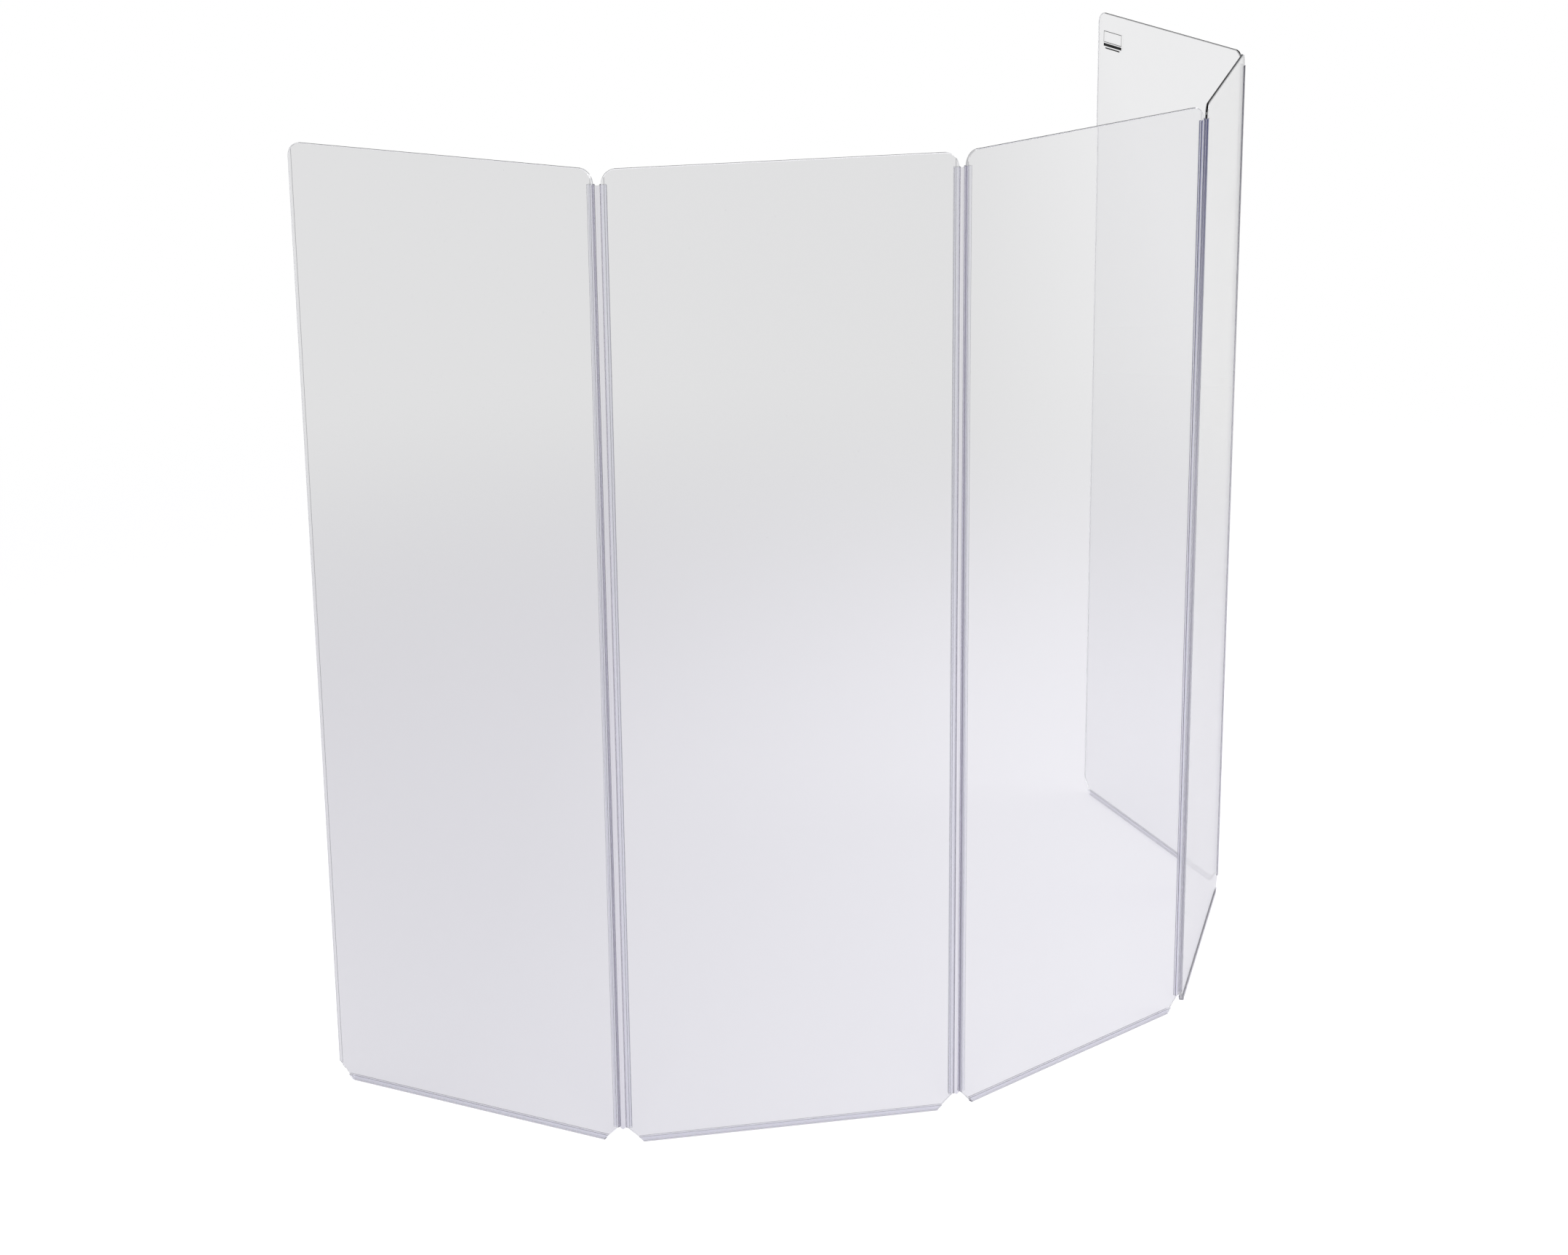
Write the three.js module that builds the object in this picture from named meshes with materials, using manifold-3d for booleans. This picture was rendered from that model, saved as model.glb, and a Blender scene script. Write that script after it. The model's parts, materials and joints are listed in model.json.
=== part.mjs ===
// A folding drum shield: five clear acrylic sheets that stand on edge in an open arc.
// Four full-height living hinges join them. Each hinge has a stiff jaw pushed on to either sheet
// and a soft web between the jaws, which bends at both of its ends.
// A clear channel runs along the foot of each sheet, and the shield stands on these channels.
// Millimetres, +Z up. The middle sheet faces -Y with its outer face, and the arc opens towards +Y.
// Sheets and hinges are numbered from -X to +X.
import * as THREE from "three";
import { mergeVertices } from "three/addons/utils/BufferGeometryUtils.js";
import Module from "manifold-3d";

const wasm = await Module();
wasm.setup();

// The sheets
const sheetWidth = 609.6;
const sheetHeight = 1778;
const sheetThickness = 6;
const topCornerRadius = 25.4;
const bottomCornerCut = 30;

// The push-on profiles: seatGap is the clearance between a profile and the sheet inside it
const seatGap = 0.3;
const jawGrip = 9.5;
const jawLegThickness = 1.1;
const jawBackThickness = 1.2;
const jawCornerRadius = 0.8;
const trimGrip = 8.7;
const trimLegThickness = 1.1;
const trimBaseThickness = 1.5;
const trimCornerRadius = 1;

// The soft webs: bendGap is the clearance between a web's round end and the jaw's back, and
// foldGap is what stays free between two profiles that are folded back to back
const webThickness = 1.2;
const bendGap = 0.3;
const foldGap = 0.4;

// How far each hinge is turned from straight while the shield stands in its arc, in degrees
const standingTurns = [39.4, 30.8, 33.6, 35.9];
const middleSheet = 1 + Math.floor(standingTurns.length / 2);

// Sizes worked out from the ones above
const halfSlot = sheetThickness / 2 + seatGap;
const jawHalfThickness = halfSlot + jawLegThickness;
const trimHalfThickness = halfSlot + trimLegThickness;
const sheetLift = trimBaseThickness + seatGap;
const jawBackReach = seatGap + jawBackThickness;
const webEndRadius = webThickness / 2;
const edgeToBend = jawBackReach + bendGap + webEndRadius;
const bendToBend = 2 * Math.max(jawHalfThickness, trimHalfThickness) + foldGap;
const hingeHeight = sheetHeight - topCornerRadius - bottomCornerCut;

// Smoothness of the round corners
const cornerSegments = 10;
const profileSegments = 3;
const webEndSegments = 6;

const quarterTurn = Math.PI / 2;

function clearPlastic(color, roughness, opacity) {
  return new THREE.MeshStandardMaterial({
    color,
    roughness,
    metalness: 0,
    transparent: true,
    opacity,
  });
}

function acrylic() {
  return clearPlastic(0xe4e3ea, 0.04, 0.3);
}

function rigidVinyl() {
  return clearPlastic(0xd3d0de, 0.14, 0.55);
}

function softVinyl() {
  return clearPlastic(0xd9d6e2, 0.22, 0.55);
}

function namedMesh(name, geometry, material) {
  const mesh = new THREE.Mesh(geometry, material);
  mesh.name = name;
  return mesh;
}

// Extrudes a flat shape along its own Z, from zero up
function extruded(shape, depth, curveSegments) {
  return new THREE.ExtrudeGeometry(shape, { depth, curveSegments, bevelEnabled: false });
}

// Extrudes a front view (x across, y up) through a thickness centred on the sheet's middle plane
function frontExtruded(shape, thickness, curveSegments) {
  return extruded(shape, thickness, curveSegments)
    .translate(0, 0, -thickness / 2)
    .rotateX(quarterTurn);
}

function solidOf(geometry) {
  const bare = geometry.clone();
  bare.deleteAttribute("normal");
  bare.deleteAttribute("uv");
  const merged = mergeVertices(bare);
  return new wasm.Manifold(
    new wasm.Mesh({
      numProp: 3,
      vertProperties: merged.getAttribute("position").array,
      triVerts: new Uint32Array(merged.index.array),
    }),
  );
}

function geometryOf(solid) {
  const { vertProperties, triVerts, numProp } = solid.getMesh();
  const geometry = new THREE.BufferGeometry();
  geometry.setAttribute("position", new THREE.BufferAttribute(vertProperties, numProp));
  geometry.setIndex(new THREE.BufferAttribute(triVerts, 1));
  geometry.computeVertexNormals();
  return geometry;
}

// Section of a push-on channel. Its back faces +x, the sheet's edge lies at zero inside it,
// and its two legs reach back along the sheet's faces.
function channelSection(grip, halfThickness, backReach, cornerRadius) {
  const section = new THREE.Shape();
  section.moveTo(-grip, halfSlot);
  section.lineTo(-grip, halfThickness);
  section.lineTo(backReach - cornerRadius, halfThickness);
  section.absarc(
    backReach - cornerRadius,
    halfThickness - cornerRadius,
    cornerRadius,
    quarterTurn,
    0,
    true,
  );
  section.lineTo(backReach, cornerRadius - halfThickness);
  section.absarc(
    backReach - cornerRadius,
    cornerRadius - halfThickness,
    cornerRadius,
    0,
    -quarterTurn,
    true,
  );
  section.lineTo(-grip, -halfThickness);
  section.lineTo(-grip, -halfSlot);
  section.lineTo(seatGap, -halfSlot);
  section.lineTo(seatGap, halfSlot);
  section.closePath();
  return section;
}

// Front view of a sheet: rounded corners at the top, corners cut off at 45 degrees at the foot
function sheetOutline() {
  const right = sheetWidth / 2;
  const roundStart = sheetHeight - topCornerRadius;
  const roundInset = right - topCornerRadius;
  const outline = new THREE.Shape();
  outline.moveTo(bottomCornerCut - right, 0);
  outline.lineTo(right - bottomCornerCut, 0);
  outline.lineTo(right, bottomCornerCut);
  outline.lineTo(right, roundStart);
  outline.absarc(roundInset, roundStart, topCornerRadius, 0, quarterTurn, false);
  outline.lineTo(-roundInset, sheetHeight);
  outline.absarc(-roundInset, roundStart, topCornerRadius, quarterTurn, Math.PI, false);
  outline.lineTo(-right, bottomCornerCut);
  outline.closePath();
  return outline;
}

// Front view of a bottom trim, whose ends follow the sheet's cut corners
function trimOutline() {
  const footEnd = sheetWidth / 2 - bottomCornerCut;
  const topEnd = footEnd + trimGrip;
  const outline = new THREE.Shape();
  outline.moveTo(trimCornerRadius - footEnd, -sheetLift);
  outline.lineTo(footEnd - trimCornerRadius, -sheetLift);
  outline.absarc(
    footEnd - trimCornerRadius,
    trimCornerRadius - sheetLift,
    trimCornerRadius,
    -quarterTurn,
    0,
    false,
  );
  outline.lineTo(footEnd, 0);
  outline.lineTo(topEnd, trimGrip);
  outline.lineTo(-topEnd, trimGrip);
  outline.lineTo(-footEnd, 0);
  outline.absarc(
    trimCornerRadius - footEnd,
    trimCornerRadius - sheetLift,
    trimCornerRadius,
    Math.PI,
    3 * quarterTurn,
    false,
  );
  outline.closePath();
  return outline;
}

function sheetGeometry() {
  return frontExtruded(sheetOutline(), sheetThickness, cornerSegments);
}

function trimGeometry() {
  const section = channelSection(trimGrip, trimHalfThickness, sheetLift, trimCornerRadius);
  const channel = extruded(section, sheetWidth, profileSegments)
    .translate(0, 0, -sheetWidth / 2)
    .rotateY(quarterTurn);
  const ends = frontExtruded(trimOutline(), 2 * trimHalfThickness, profileSegments);
  return geometryOf(solidOf(channel).intersect(solidOf(ends)));
}

// A jaw on the sheet's +X edge (side 1) or its -X edge (side -1)
function jawGeometry(side) {
  const section = channelSection(jawGrip, jawHalfThickness, jawBackReach, jawCornerRadius);
  const geometry = extruded(section, hingeHeight, profileSegments);
  geometry.translate(sheetWidth / 2, 0, bottomCornerCut);
  if (side < 0) geometry.rotateZ(Math.PI);
  return geometry;
}

// A web from its first bend at zero to its second bend at bendToBend along +X
function webGeometry() {
  const section = new THREE.Shape();
  section.absarc(0, 0, webEndRadius, quarterTurn, 3 * quarterTurn, false);
  section.absarc(bendToBend, 0, webEndRadius, -quarterTurn, quarterTurn, false);
  section.closePath();
  return extruded(section, hingeHeight, webEndSegments).translate(0, 0, bottomCornerCut);
}

// One sheet with its bottom trim and the jaws that its neighbours' hinges need
function sheetGroup(number) {
  const group = new THREE.Group();
  group.add(namedMesh(`panel_${number}`, sheetGeometry(), acrylic()));
  group.add(namedMesh(`bottom_trim_${number}`, trimGeometry(), rigidVinyl()));
  if (number > 1) {
    group.add(namedMesh(`hinge_${number - 1}_right_jaw`, jawGeometry(-1), rigidVinyl()));
  }
  if (number <= standingTurns.length) {
    group.add(namedMesh(`hinge_${number}_left_jaw`, jawGeometry(1), rigidVinyl()));
  }
  return group;
}

// Hangs the web and the next sheet on a placed sheet, and goes on to the arc's end.
// Either end of the web takes half of the hinge's turn.
function addNeighbours(sheet, number, side) {
  const neighbour = number + side;
  const hinge = Math.min(number, neighbour);
  if (hinge < 1 || hinge > standingTurns.length) return;
  const halfTurn = (side * THREE.MathUtils.degToRad(standingTurns[hinge - 1])) / 2;

  const web = new THREE.Group();
  web.name = `hinge_${hinge}_near_bend`;
  web.position.x = side * (sheetWidth / 2 + edgeToBend);
  web.rotation.z = halfTurn;
  const strip = namedMesh(`hinge_${hinge}_web`, webGeometry(), softVinyl());
  if (side < 0) strip.rotation.z = Math.PI;
  web.add(strip);
  sheet.add(web);

  const farBend = new THREE.Group();
  farBend.name = `hinge_${hinge}_far_bend`;
  farBend.position.x = side * bendToBend;
  farBend.rotation.z = halfTurn;
  web.add(farBend);

  const next = sheetGroup(neighbour);
  next.position.x = side * (edgeToBend + sheetWidth / 2);
  farBend.add(next);
  addNeighbours(next, neighbour, side);
}

// The shield, with its origin on the floor under the middle of its whole outline
const shield = new THREE.Group();
const middle = sheetGroup(middleSheet);
addNeighbours(middle, middleSheet, -1);
addNeighbours(middle, middleSheet, 1);
shield.add(middle);

shield.updateMatrixWorld(true);
const box = new THREE.Box3().setFromObject(shield, true);
const centre = box.getCenter(new THREE.Vector3());
middle.position.set(-centre.x, -centre.y, -box.min.z);
shield.updateMatrixWorld(true);

export default shield;
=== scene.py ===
"""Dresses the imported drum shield: clear sheets, push-on profiles, soft hinge webs and a studio."""

import json
import math

import bmesh
import bpy
from mathutils import Matrix, Quaternion, Vector

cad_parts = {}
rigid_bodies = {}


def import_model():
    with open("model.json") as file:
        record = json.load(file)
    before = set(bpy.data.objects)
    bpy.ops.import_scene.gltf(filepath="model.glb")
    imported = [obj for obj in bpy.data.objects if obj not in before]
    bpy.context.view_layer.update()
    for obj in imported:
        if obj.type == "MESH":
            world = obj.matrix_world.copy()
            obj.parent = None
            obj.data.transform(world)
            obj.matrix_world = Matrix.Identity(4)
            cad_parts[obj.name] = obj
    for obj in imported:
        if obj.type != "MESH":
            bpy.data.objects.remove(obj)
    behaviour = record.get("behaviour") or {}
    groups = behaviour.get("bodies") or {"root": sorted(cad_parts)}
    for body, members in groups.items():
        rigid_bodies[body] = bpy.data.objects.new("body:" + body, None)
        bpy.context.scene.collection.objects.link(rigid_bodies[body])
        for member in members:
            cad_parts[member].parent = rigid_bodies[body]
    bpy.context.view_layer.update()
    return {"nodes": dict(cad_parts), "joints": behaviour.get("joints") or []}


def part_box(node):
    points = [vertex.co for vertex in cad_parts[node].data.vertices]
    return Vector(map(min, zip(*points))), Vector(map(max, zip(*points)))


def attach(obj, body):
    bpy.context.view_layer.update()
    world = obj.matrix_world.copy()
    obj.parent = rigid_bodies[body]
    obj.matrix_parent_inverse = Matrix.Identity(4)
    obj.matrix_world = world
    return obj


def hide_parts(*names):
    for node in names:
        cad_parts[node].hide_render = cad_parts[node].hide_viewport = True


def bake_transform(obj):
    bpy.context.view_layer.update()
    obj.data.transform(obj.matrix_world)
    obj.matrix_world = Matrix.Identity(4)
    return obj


bl_info = {
    "name": "Folding Drum Shield",
    "version": (1, 0, 0),
    "blender": (4, 5, 0),
    "location": "3D View > Sidebar > Drum Shield",
    "description": "Clear sheets, push-on profiles, living hinges and a studio",
    "category": "Add Mesh",
}

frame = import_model()

SHEETS = sorted(int(name.split("_")[1]) for name in frame["nodes"] if name.startswith("panel_"))
HINGES = SHEETS[:-1]
MIDDLE = SHEETS[len(SHEETS) // 2]
UP = Vector((0, 0, 1))
MM = 0.001
TINY = 1e-6

# Slots of a sheet's materials
SHEET_FACE, SHEET_EDGE, SHEET_PAINTED_SHADE_TOP, SHEET_CHAMFER, SHEET_PAINTED_SHADE_LINE = range(5)
# Slots of a profile's materials
PROFILE_WALL, PROFILE_BACK, PROFILE_LIP = range(3)

# Sockets whose names a node uses more than once. First those of Map Range, then those of Mix for
# colours and for numbers, and those of Mix Shader.
VALUE, FROM_MIN, FROM_MAX, TO_MIN, TO_MAX = range(5)
FACTOR = 0
COLOUR_A, COLOUR_B, COLOUR_RESULT = 6, 7, 2
NUMBER_A, NUMBER_B = 2, 3
SHADER_A, SHADER_B = 1, 2

ACRYLIC_IOR = 1.49
VINYL_IOR = 1.53
# Stretches a pattern 250 times along the way that a profile was extruded
ALONG_Z = (1.0, 1.0, 0.004)
ALONG_SHEET = (0.004, 0.004, 1.0)


def linear(hex_colour):
    """An sRGB hex colour as linear red, green and blue."""
    parts = [int(hex_colour[i : i + 2], 16) / 255 for i in (1, 3, 5)]
    return tuple(c / 12.92 if c <= 0.04045 else ((c + 0.055) / 1.055) ** 2.4 for c in parts)


def sheet_size():
    """Width, thickness and height of the middle sheet, which stands square to the axes."""
    low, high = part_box(f"panel_{MIDDLE}")
    return high - low


# Where each piece stands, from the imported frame


def bend_points():
    """The two bends of each hinge, as (hinge, sheet that the bend joins the web to): point."""
    points = {}
    for joint in frame["joints"]:
        hinge = int(joint["name"].split("_")[1])
        sheet = next(b for b in (joint["parent"], joint["child"]) if b.startswith("panel_"))
        points[hinge, int(sheet.split("_")[1])] = Vector(joint["pos_m"])
    return points


def standing(origin, along):
    """A place with its own X along a level direction and its own Z up."""
    x = Vector((along.x, along.y, 0)).normalized()
    y = UP.cross(x)
    return Matrix.Translation(origin) @ Matrix((x, y, UP)).transposed().to_4x4()


def sheet_place(number):
    """Middle of a sheet's foot. X runs to the right along the sheet and Y points inwards."""
    low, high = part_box(f"panel_{number}")
    foot = Vector(((low.x + high.x) / 2, (low.y + high.y) / 2, low.z))
    points = bend_points()
    if (number, number) in points:
        return standing(foot, points[number, number] - foot)
    return standing(foot, foot - points[number - 1, number])


def jaw_place(hinge, side):
    """The sheet's edge inside a jaw, at the jaw's lower end. X points out of the sheet."""
    node = f"hinge_{hinge}_{side}_jaw"
    sheet = hinge if side == "left" else hinge + 1
    place = sheet_place(sheet)
    outwards = place.col[0].to_3d() * (1 if side == "left" else -1)
    edge = place.translation + outwards * (sheet_size().x / 2)
    edge.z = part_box(node)[0].z
    return standing(edge, outwards)


# Mesh helpers


def finished(bm, name, place, materials, smooth=True):
    """Puts a bmesh in its place in the frame and makes it an object."""
    bmesh.ops.transform(bm, matrix=place, verts=bm.verts)
    bmesh.ops.recalc_face_normals(bm, faces=bm.faces)
    for face in bm.faces:
        face.smooth = smooth
    # Edges that turn further than this stay sharp, or they would bend the light all along a piece
    sharp = math.radians(35)
    for edge in bm.edges:
        edge.smooth = edge.calc_face_angle(0.0) < sharp
    mesh = bpy.data.meshes.new(name)
    bm.to_mesh(mesh)
    bm.free()
    for material in materials:
        mesh.materials.append(material)
    piece = bpy.data.objects.new(name, mesh)
    bpy.context.scene.collection.objects.link(piece)
    return piece


def weighted(piece):
    """Lets the large flat faces set the shading, so that only the rounded edges bend the light."""
    modifier = piece.modifiers.new("Flat faces first", "WEIGHTED_NORMAL")
    modifier.weight = 90
    modifier.keep_sharp = True
    return piece


def whole(faces):
    """Faces with their edges and corners, which an extrusion needs so that no face stays inside."""
    faces = list(faces)
    edges = {edge for face in faces for edge in face.edges}
    verts = {vert for face in faces for vert in face.verts}
    return [*faces, *edges, *verts]


def pushed(bm, faces, offset):
    """Extrudes faces and moves the new ones, which it returns."""
    made = bmesh.ops.extrude_face_region(bm, geom=whole(faces))["geom"]
    verts = [g for g in made if isinstance(g, bmesh.types.BMVert)]
    bmesh.ops.translate(bm, vec=offset, verts=verts)
    return [g for g in made if isinstance(g, bmesh.types.BMFace)]


def cut_across(bm, point, normal):
    """Adds a line of edges where a plane meets the mesh."""
    everything = bm.verts[:] + bm.edges[:] + bm.faces[:]
    bmesh.ops.bisect_plane(bm, geom=everything, plane_co=point, plane_no=normal, dist=1e-7)


def rounded(bm, corners, radius, segments):
    """Rounds corners of a flat outline."""
    near = [v for v in bm.verts if any((v.co - c).length < TINY for c in corners)]
    if len(near) != len(corners):
        raise RuntimeError(f"{len(near)} of {len(corners)} corners found")
    bmesh.ops.bevel(
        bm,
        geom=near,
        offset=radius,
        offset_type="OFFSET",
        segments=segments,
        profile=0.5,
        affect="VERTICES",
        material=-1,
    )


def must_fit(piece, node, slack=0.0006):
    """Raises an error if a piece reaches out of the node it stands for."""
    low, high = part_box(node)
    for vertex in piece.data.vertices:
        for i in range(3):
            if not low[i] - slack <= vertex.co[i] <= high[i] + slack:
                raise RuntimeError(f"{piece.name} reaches out of {node}")


# Materials


def add(tree, kind, settings=None, inputs=None):
    """Adds a node with its settings, values and links, and returns it."""
    node = tree.nodes.new("ShaderNode" + kind)
    for key, value in (settings or {}).items():
        setattr(node, key, value)
    for key, value in (inputs or {}).items():
        if isinstance(value, bpy.types.NodeSocket):
            tree.links.new(value, node.inputs[key])
        else:
            node.inputs[key].default_value = value
    return node


def blank(name):
    """A new material and its empty node tree."""
    material = bpy.data.materials.new(name)
    material.use_nodes = True
    material.node_tree.nodes.clear()
    return material, material.node_tree


def rgba(colour, brightness=1.0):
    """A colour as a colour socket takes it."""
    return (*(part * brightness for part in colour), 1.0)


def let_lamps_through(tree, surface, share):
    """Lets a share of the lamps' light through clear plastic, which takes only its tint from it."""
    path = add(tree, "LightPath")
    open_way = add(tree, "BsdfTransparent", inputs={"Color": rgba(share)})
    lamps = add(
        tree,
        "MixShader",
        inputs={
            FACTOR: path.outputs["Is Shadow Ray"],
            SHADER_A: surface,
            SHADER_B: open_way.outputs[0],
        },
    )
    around = add(
        tree,
        "MixShader",
        inputs={
            FACTOR: path.outputs["Is Diffuse Ray"],
            SHADER_A: lamps.outputs[0],
            SHADER_B: open_way.outputs[0],
        },
    )
    add(tree, "OutputMaterial", inputs={"Surface": around.outputs[0]})


def cast_acrylic_faces(colours):
    """Clear cast acrylic, polished in the mould: glossy and faintly smeared, with a little dust."""
    material, tree = blank("cast_acrylic_polished")
    place = add(tree, "TexCoord").outputs["Object"]
    # Specks of dust about 1 mm across, some forty on a sheet
    dust = add(tree, "TexVoronoi", {"feature": "F1"}, {"Vector": place, "Scale": 30.0})
    speck = add(
        tree,
        "MapRange",
        inputs={
            VALUE: dust.outputs["Distance"],
            FROM_MIN: 0.012,
            FROM_MAX: 0.022,
            TO_MIN: 1.0,
            TO_MAX: 0.0,
        },
    )
    # Wiping smears, a hand's breadth wide
    smear = add(
        tree,
        "TexNoise",
        inputs={"Vector": place, "Scale": 9.0, "Detail": 5.0, "Roughness": 0.6, "Distortion": 0.8},
    )
    colour = add(
        tree,
        "Mix",
        {"data_type": "RGBA"},
        {
            FACTOR: speck.outputs[0],
            COLOUR_A: rgba(colours.sheet),
            COLOUR_B: rgba(colours.dust),
        },
    )
    rough = add(
        tree,
        "MapRange",
        inputs={
            VALUE: smear.outputs["Fac"],
            FROM_MIN: 0.35,
            FROM_MAX: 0.75,
            TO_MIN: 0.01,
            TO_MAX: 0.03,
        },
    )
    # Cast sheet is flat to a few hundredths of a millimetre over a hand's breadth
    wave = add(tree, "TexNoise", inputs={"Vector": place, "Scale": 7.0, "Detail": 1.0})
    bump = add(
        tree,
        "Bump",
        inputs={"Strength": 0.2, "Distance": 0.00003, "Height": wave.outputs["Fac"]},
    )
    surface = add(
        tree,
        "BsdfPrincipled",
        inputs={
            "Base Color": colour.outputs[COLOUR_RESULT],
            "Roughness": rough.outputs[0],
            "IOR": ACRYLIC_IOR,
            "Transmission Weight": 1.0,
            "Normal": bump.outputs[0],
        },
    )
    let_lamps_through(tree, surface.outputs[0], (0.94, 0.94, 0.945))
    return material


def acrylic_edge(name, colour, clear):
    """Routed and flame-polished acrylic edge that traps light and shows faint cutter marks; a dark
    colour in it is painted shade.
    """
    material, tree = blank(name)
    place = add(tree, "TexCoord").outputs["Object"]
    # Cutter marks 2 mm apart
    marks = add(tree, "TexNoise", inputs={"Vector": place, "Scale": 500.0, "Detail": 2.0})
    rough = add(
        tree,
        "MapRange",
        inputs={
            VALUE: marks.outputs["Fac"],
            FROM_MIN: 0.3,
            FROM_MAX: 0.7,
            TO_MIN: 0.03,
            TO_MAX: 0.1,
        },
    )
    bump = add(
        tree,
        "Bump",
        inputs={"Strength": 0.3, "Distance": 0.00003, "Height": marks.outputs["Fac"]},
    )
    shade = add(
        tree,
        "Mix",
        {"data_type": "RGBA"},
        {FACTOR: marks.outputs["Fac"], COLOUR_A: rgba(colour), COLOUR_B: rgba(colour, 0.9)},
    )
    surface = add(
        tree,
        "BsdfPrincipled",
        inputs={
            "Base Color": shade.outputs[COLOUR_RESULT],
            "Roughness": rough.outputs[0],
            "IOR": ACRYLIC_IOR,
            "Transmission Weight": clear,
            "Normal": bump.outputs[0],
        },
    )
    let_lamps_through(tree, surface.outputs[0], (0.9, 0.9, 0.91))
    return material


def extruded_vinyl(name, stretch, colour, roughness, foot=None):
    """Clear extruded vinyl with a faint violet toner and fine die lines along the extrusion."""
    material, tree = blank(name)
    place = add(tree, "TexCoord").outputs["Object"]
    along = add(tree, "Mapping", inputs={"Vector": place, "Scale": stretch})
    # Die lines 1 to 2 mm apart, coarser than the real ones so that they show
    lines = add(
        tree,
        "TexNoise",
        inputs={"Vector": along.outputs[0], "Scale": 700.0, "Detail": 3.0, "Roughness": 0.55},
    )
    rough = add(
        tree,
        "MapRange",
        inputs={
            VALUE: lines.outputs["Fac"],
            FROM_MIN: 0.3,
            FROM_MAX: 0.7,
            TO_MIN: roughness[0],
            TO_MAX: roughness[1],
        },
    )
    bump = add(
        tree,
        "Bump",
        inputs={"Strength": 0.35, "Distance": 0.00004, "Height": lines.outputs["Fac"]},
    )
    shade = add(
        tree,
        "Mix",
        {"data_type": "RGBA"},
        {FACTOR: lines.outputs["Fac"], COLOUR_A: rgba(colour), COLOUR_B: rgba(colour, 0.94)},
    )
    if foot:
        # Painted light: the colour turns to the foot colour towards the bottom, for the light that
        # the white floor gives the lower part, fully so below 1.1 m
        height = add(tree, "SeparateXYZ", inputs={"Vector": place}).outputs["Z"]
        painted_floor_light = add(
            tree,
            "MapRange",
            inputs={VALUE: height, FROM_MIN: 1.8, FROM_MAX: 1.1, TO_MIN: 0.0, TO_MAX: 1.0},
        )
        shade = add(
            tree,
            "Mix",
            {"data_type": "RGBA"},
            {
                FACTOR: painted_floor_light.outputs[0],
                COLOUR_A: shade.outputs[COLOUR_RESULT],
                COLOUR_B: rgba(foot),
            },
        )
    surface = add(
        tree,
        "BsdfPrincipled",
        inputs={
            "Base Color": shade.outputs[COLOUR_RESULT],
            "Roughness": rough.outputs[0],
            "IOR": VINYL_IOR,
            "Transmission Weight": 1.0,
            "Normal": bump.outputs[0],
        },
    )
    let_lamps_through(tree, surface.outputs[0], (0.92, 0.915, 0.94))
    return material


def printing_ink(colours):
    """Screen-printed ink: a thin matt black film with pinholes and a slightly ragged coat."""
    material, tree = blank("screen_printed_ink")
    place = add(tree, "TexCoord").outputs["Object"]
    # The mesh of the screen, drawn 1.2 mm apart so that it shows
    grain = add(tree, "TexNoise", inputs={"Vector": place, "Scale": 800.0, "Detail": 3.0})
    colour = add(
        tree,
        "Mix",
        {"data_type": "RGBA"},
        {
            FACTOR: grain.outputs["Fac"],
            COLOUR_A: rgba(colours.ink),
            COLOUR_B: rgba([part * 1.9 + 0.004 for part in colours.ink]),
        },
    )
    rough = add(
        tree,
        "MapRange",
        inputs={
            VALUE: grain.outputs["Fac"],
            FROM_MIN: 0.3,
            FROM_MAX: 0.7,
            TO_MIN: 0.5,
            TO_MAX: 0.7,
        },
    )
    bump = add(
        tree,
        "Bump",
        inputs={"Strength": 0.3, "Distance": 0.00002, "Height": grain.outputs["Fac"]},
    )
    surface = add(
        tree,
        "BsdfPrincipled",
        inputs={
            "Base Color": colour.outputs[COLOUR_RESULT],
            "Roughness": rough.outputs[0],
            "Specular IOR Level": 0.15,
            "Normal": bump.outputs[0],
        },
    )
    add(tree, "OutputMaterial", inputs={"Surface": surface.outputs[0]})
    return material


def once(name, make, *arguments):
    """A material that several operators share."""
    return bpy.data.materials.get(name) or make(*arguments)


def rigid_vinyl(colours, way, stretch, depth, lip, dark=None):
    """Rigid vinyl in its three looks: a wall, a back seen through its depth, and a rounded lip.

    Each look has a name, a colour, its least and most roughness, and where it has painted shade,
    the colour of the painted light that the white floor gives its lower part.
    """
    looks = [
        ("wall", colours.vinyl, (0.03, 0.08)),
        ("back", depth, (0.03, 0.08)),
        ("lip", lip, (0.1, 0.2)),
    ]
    # Painted shade on the back and lip, with painted floor light at their foot
    if dark:
        where, shade = dark
        looks[PROFILE_BACK] = (f"{where}_back", shade, (0.03, 0.08), colours.vinyl)
        looks[PROFILE_LIP] = (f"{where}_lip", shade, (0.05, 0.1), colours.vinyl_depth)
    materials = []
    for zone, *finish in looks:
        name = f"rigid_vinyl_{zone}_{way}"
        materials.append(once(name, extruded_vinyl, name, stretch, *finish))
    return materials


def soft_vinyl(colours):
    """The soft vinyl of the webs, a little duller than the rigid one."""
    name = "soft_vinyl_web"
    return once(name, extruded_vinyl, name, ALONG_Z, colours.web, (0.08, 0.16))


# Settings


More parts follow.
